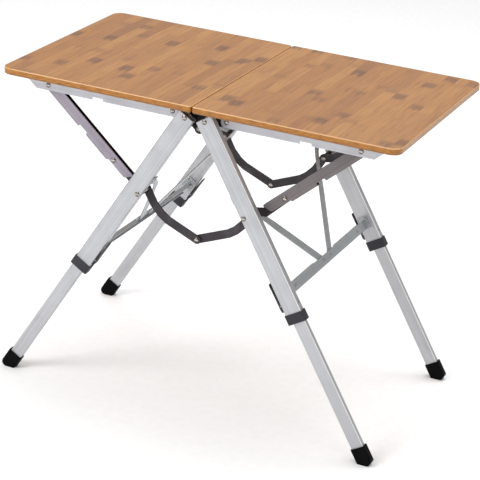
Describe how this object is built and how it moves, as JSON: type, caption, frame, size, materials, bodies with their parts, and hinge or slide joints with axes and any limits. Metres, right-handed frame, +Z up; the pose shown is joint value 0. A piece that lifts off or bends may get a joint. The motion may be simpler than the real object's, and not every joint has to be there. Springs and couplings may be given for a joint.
{
  "type": "folding side table",
  "caption": "Folding side table: two-board bamboo top hinged across the middle, on an aluminium scissor leg frame with linked struts, locking telescopic feet and braces.",
  "frame": {"origin": "on the floor, under the middle of the top", "axes": "+X along the length of the top, -Y the front, +Z up"},
  "size_m": [0.7, 0.4, 0.554],
  "materials": {
    "bamboo": "satin lacquer",
    "rail_aluminium": "satin anodised",
    "leg_aluminium": "brushed lengthwise",
    "strut_aluminium": "warm grey anodised",
    "bar_aluminium": "satin",
    "black_steel": "satin black",
    "rivet_steel": "polished",
    "rod_steel": "satin",
    "collar_plastic": "fine grain",
    "foot_rubber": "matte",
    "lock_plastic": "fine grain"
  },
  "bodies": {
    "hub": {"centre_rod": "rod_steel", "centre_caps": "rivet_steel"},
    "left_top": {"left_board": "bamboo", "left_front_rail": "rail_aluminium", "left_back_rail": "rail_aluminium", "left_hinge_plates": "black_steel", "left_rail_rivets": "rivet_steel", "left_board_screws": "rod_steel"},
    "left_legs": {"left_front_leg": "leg_aluminium", "left_back_leg": "leg_aluminium", "left_cross_bar": "bar_aluminium", "left_brace_arms": "bar_aluminium", "left_collars": "collar_plastic", "left_lock_lugs": "bar_aluminium", "left_leg_pins": "rivet_steel", "left_bar_rivets": "rivet_steel"},
    "left_front_lever_set": {"left_front_lever": "black_steel", "left_front_lever_rivets": "rivet_steel"},
    "left_front_strut_set": {"left_front_strut": "strut_aluminium", "left_front_strut_rivet": "rivet_steel"},
    "left_front_lower": {"left_front_lower_leg": "leg_aluminium", "left_front_foot": "foot_rubber"},
    "left_front_lock": {"left_front_lock_lever": "lock_plastic"},
    "left_back_lever_set": {"left_back_lever": "black_steel", "left_back_lever_rivets": "rivet_steel"},
    "left_back_strut_set": {"left_back_strut": "strut_aluminium", "left_back_strut_rivet": "rivet_steel"},
    "left_back_lower": {"left_back_lower_leg": "leg_aluminium", "left_back_foot": "foot_rubber"},
    "left_back_lock": {"left_back_lock_lever": "lock_plastic"},
    "right_top": {"right_board": "bamboo", "right_front_rail": "rail_aluminium", "right_back_rail": "rail_aluminium", "right_hinge_plates": "black_steel", "right_rail_rivets": "rivet_steel", "right_board_screws": "rod_steel"},
    "right_legs": {"right_front_leg": "leg_aluminium", "right_back_leg": "leg_aluminium", "right_cross_bar": "bar_aluminium", "right_brace_arms": "bar_aluminium", "right_collars": "collar_plastic", "right_lock_lugs": "bar_aluminium", "right_leg_pins": "rivet_steel", "right_bar_rivets": "rivet_steel"},
    "right_front_lever_set": {"right_front_lever": "black_steel", "right_front_lever_rivets": "rivet_steel"},
    "right_front_strut_set": {"right_front_strut": "strut_aluminium", "right_front_strut_rivet": "rivet_steel"},
    "right_front_lower": {"right_front_lower_leg": "leg_aluminium", "right_front_foot": "foot_rubber"},
    "right_front_lock": {"right_front_lock_lever": "lock_plastic"},
    "right_back_lever_set": {"right_back_lever": "black_steel", "right_back_lever_rivets": "rivet_steel"},
    "right_back_strut_set": {"right_back_strut": "strut_aluminium", "right_back_strut_rivet": "rivet_steel"},
    "right_back_lower": {"right_back_lower_leg": "leg_aluminium", "right_back_foot": "foot_rubber"},
    "right_back_lock": {"right_back_lock_lever": "lock_plastic"}
  },
  "joints": [
    {"name": "left_top_fold", "type": "hinge", "parent": "hub", "child": "left_top", "pos_m": [0, 0, 0.5065], "axis": [0, -1, 0], "range_deg": [0, 85]},
    {"name": "left_leg_fold", "type": "hinge", "parent": "left_top", "child": "left_legs", "pos_m": [-0.0177, 0, 0.5272], "axis": [0, 1, 0], "range_deg": [0, 54]},
    {"name": "left_front_lever_turn", "type": "hinge", "parent": "left_legs", "child": "left_front_lever_set", "pos_m": [-0.0959, -0.15, 0.3796], "axis": [0, 1, 0], "range_deg": [0, 78.76]},
    {"name": "left_front_strut_turn", "type": "hinge", "parent": "left_top", "child": "left_front_strut_set", "pos_m": [-0.2777, -0.1575, 0.527], "axis": [0, -1, 0], "range_deg": [0, 38.51]},
    {"name": "left_front_leg_slide", "type": "slide", "parent": "left_legs", "child": "left_front_lower", "axis": [0.518, 0, 0.8554], "range_m": [0, 0.11]},
    {"name": "left_front_lock_press", "type": "hinge", "parent": "left_legs", "child": "left_front_lock", "pos_m": [-0.17039, -0.179, 0.24322], "axis": [0, -1, 0], "range_deg": [0, 3.5], "stiffness_Nm_per_rad": 0.25, "springref_deg": -2.86},
    {"name": "left_back_lever_turn", "type": "hinge", "parent": "left_legs", "child": "left_back_lever_set", "pos_m": [-0.0959, 0.15, 0.3796], "axis": [0, 1, 0], "range_deg": [0, 78.76]},
    {"name": "left_back_strut_turn", "type": "hinge", "parent": "left_top", "child": "left_back_strut_set", "pos_m": [-0.2777, 0.1575, 0.527], "axis": [0, -1, 0], "range_deg": [0, 38.51]},
    {"name": "left_back_leg_slide", "type": "slide", "parent": "left_legs", "child": "left_back_lower", "axis": [0.518, 0, 0.8554], "range_m": [0, 0.11]},
    {"name": "left_back_lock_press", "type": "hinge", "parent": "left_legs", "child": "left_back_lock", "pos_m": [-0.17039, 0.179, 0.24322], "axis": [0, -1, 0], "range_deg": [0, 3.5], "stiffness_Nm_per_rad": 0.25, "springref_deg": -2.86},
    {"name": "right_top_fold", "type": "hinge", "parent": "hub", "child": "right_top", "pos_m": [0, 0, 0.5065], "axis": [0, 1, 0], "range_deg": [0, 85]},
    {"name": "right_leg_fold", "type": "hinge", "parent": "right_top", "child": "right_legs", "pos_m": [0.0177, 0, 0.5272], "axis": [0, -1, 0], "range_deg": [0, 54]},
    {"name": "right_front_lever_turn", "type": "hinge", "parent": "right_legs", "child": "right_front_lever_set", "pos_m": [0.0959, -0.15, 0.3796], "axis": [0, -1, 0], "range_deg": [0, 78.76]},
    {"name": "right_front_strut_turn", "type": "hinge", "parent": "right_top", "child": "right_front_strut_set", "pos_m": [0.2777, -0.1575, 0.527], "axis": [0, 1, 0], "range_deg": [0, 38.51]},
    {"name": "right_front_leg_slide", "type": "slide", "parent": "right_legs", "child": "right_front_lower", "axis": [-0.518, 0, 0.8554], "range_m": [0, 0.11]},
    {"name": "right_front_lock_press", "type": "hinge", "parent": "right_legs", "child": "right_front_lock", "pos_m": [0.17039, -0.179, 0.24322], "axis": [0, 1, 0], "range_deg": [0, 3.5], "stiffness_Nm_per_rad": 0.25, "springref_deg": -2.86},
    {"name": "right_back_lever_turn", "type": "hinge", "parent": "right_legs", "child": "right_back_lever_set", "pos_m": [0.0959, 0.15, 0.3796], "axis": [0, -1, 0], "range_deg": [0, 78.76]},
    {"name": "right_back_strut_turn", "type": "hinge", "parent": "right_top", "child": "right_back_strut_set", "pos_m": [0.2777, 0.1575, 0.527], "axis": [0, 1, 0], "range_deg": [0, 38.51]},
    {"name": "right_back_leg_slide", "type": "slide", "parent": "right_legs", "child": "right_back_lower", "axis": [-0.518, 0, 0.8554], "range_m": [0, 0.11]},
    {"name": "right_back_lock_press", "type": "hinge", "parent": "right_legs", "child": "right_back_lock", "pos_m": [0.17039, 0.179, 0.24322], "axis": [0, 1, 0], "range_deg": [0, 3.5], "stiffness_Nm_per_rad": 0.25, "springref_deg": -2.86}
  ],
  "couplings": [
    {"joint": "left_leg_fold", "follows": "left_top_fold", "ratio": 0.63529},
    {"joint": "left_front_lever_turn", "follows": "left_top_fold", "ratio": 0.92659},
    {"joint": "left_front_strut_turn", "follows": "left_top_fold", "ratio": 0.45306},
    {"joint": "left_back_lever_turn", "follows": "left_top_fold", "ratio": 0.92659},
    {"joint": "left_back_strut_turn", "follows": "left_top_fold", "ratio": 0.45306},
    {"joint": "right_top_fold", "follows": "left_top_fold", "ratio": 1},
    {"joint": "right_leg_fold", "follows": "left_top_fold", "ratio": 0.63529},
    {"joint": "right_front_lever_turn", "follows": "left_top_fold", "ratio": 0.92659},
    {"joint": "right_front_strut_turn", "follows": "left_top_fold", "ratio": 0.45306},
    {"joint": "right_back_lever_turn", "follows": "left_top_fold", "ratio": 0.92659},
    {"joint": "right_back_strut_turn", "follows": "left_top_fold", "ratio": 0.45306}
  ]
}
